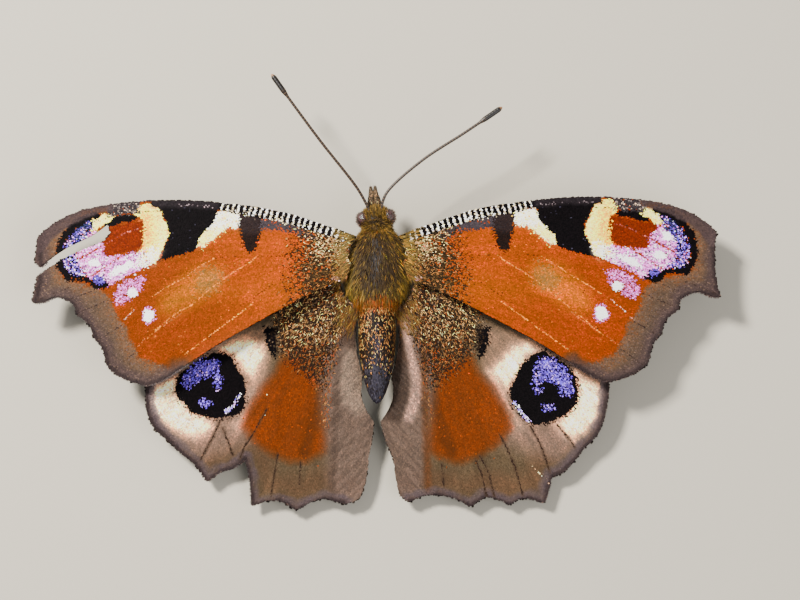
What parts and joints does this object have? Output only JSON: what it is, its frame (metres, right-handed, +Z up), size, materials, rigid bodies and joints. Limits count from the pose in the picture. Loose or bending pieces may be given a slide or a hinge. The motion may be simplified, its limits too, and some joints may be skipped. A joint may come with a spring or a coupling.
{
  "type": "peacock butterfly",
  "caption": "Life-size still peacock butterfly basking with spread, veined wings, standing on its feet, with clubbed feelers and a furred body.",
  "frame": {"origin": "on the ground under the middle of the spread wings and feelers, a little behind the wing roots", "axes": "+Y towards the head, +X towards the butterfly's right wings, +Z up from the ground it stands on"},
  "size_m": [0.0632, 0.0399, 0.0069],
  "materials": {
    "body_fur": "golden brown fur over dark shell",
    "shell": "dark brown, scaled and slightly glossy",
    "eye": "dark brown with fine facets",
    "forewing_scales": "rust-orange wing scales with black, cream and blue-violet eyespot",
    "hindwing_scales": "rust and brown wing scales with a blue and black eyespot"
  },
  "bodies": {
    "root": {"thorax": "body_fur", "abdomen": "body_fur", "head": "body_fur", "palp_left": "body_fur", "palp_right": "body_fur", "eye_left": "eye", "eye_right": "eye", "proboscis": "shell", "antenna_left": "shell", "antenna_right": "shell", "foreleg_left": "shell", "foreleg_right": "shell", "midleg_left": "shell", "midleg_right": "shell", "hindleg_left": "shell", "hindleg_right": "shell", "forewing_left": "forewing_scales", "forewing_right": "forewing_scales", "hindwing_left": "hindwing_scales", "hindwing_right": "hindwing_scales"}
  },
  "joints": []
}
